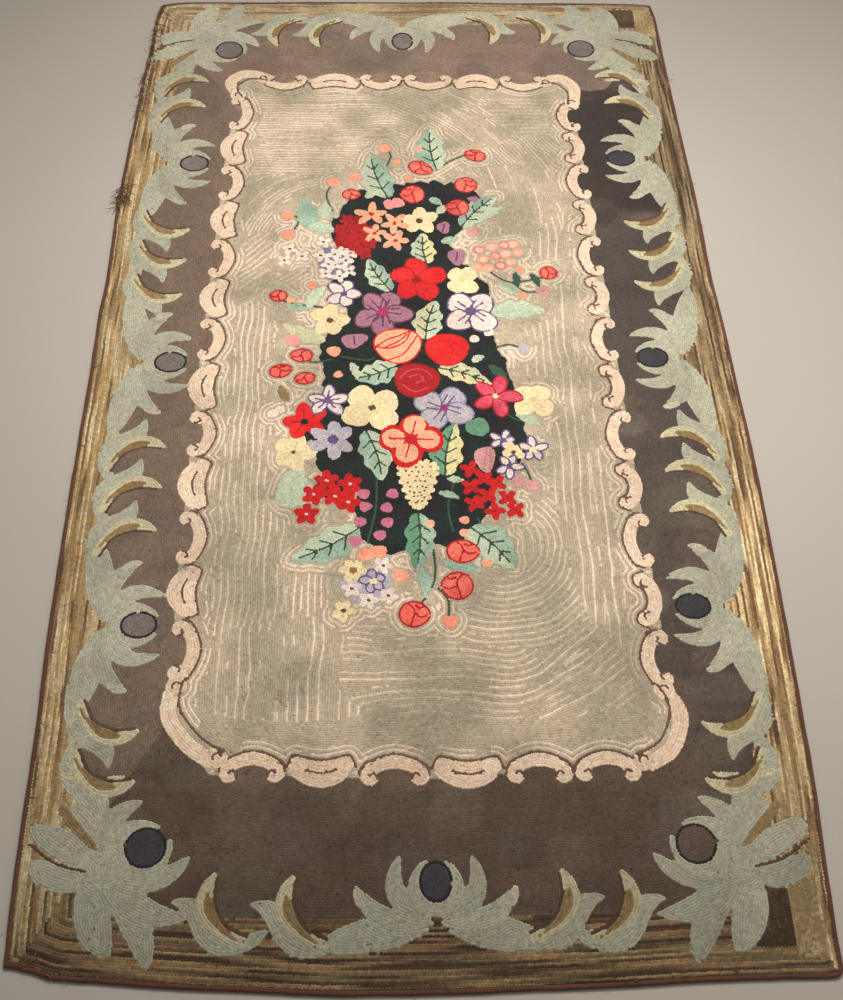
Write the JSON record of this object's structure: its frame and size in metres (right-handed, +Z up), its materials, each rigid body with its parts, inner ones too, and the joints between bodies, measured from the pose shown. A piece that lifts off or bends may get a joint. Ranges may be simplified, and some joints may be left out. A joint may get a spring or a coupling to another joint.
{
  "type": "hooked rug",
  "caption": "Rectangular hooked rug lying flat: short looped pile with a flower bouquet inside scroll and leaf borders, and a bound edge.",
  "frame": {"origin": "on the floor, under the middle of the rug's bounding box", "axes": "+X across the rug to the right, +Y along it from the near end to the far end, +Z up out of the pile"},
  "size_m": [1.058, 1.915, 0.007],
  "materials": {
    "pile": "matt hooked wool loops, grey-green field with multicoloured flowers and borders",
    "binding": "matt rust-brown woven tape, worn at the edges"
  },
  "bodies": {
    "root": {"hooked_panel": "pile", "binding_near": "binding", "binding_right": "binding", "binding_far": "binding", "binding_left": "binding"}
  },
  "joints": []
}
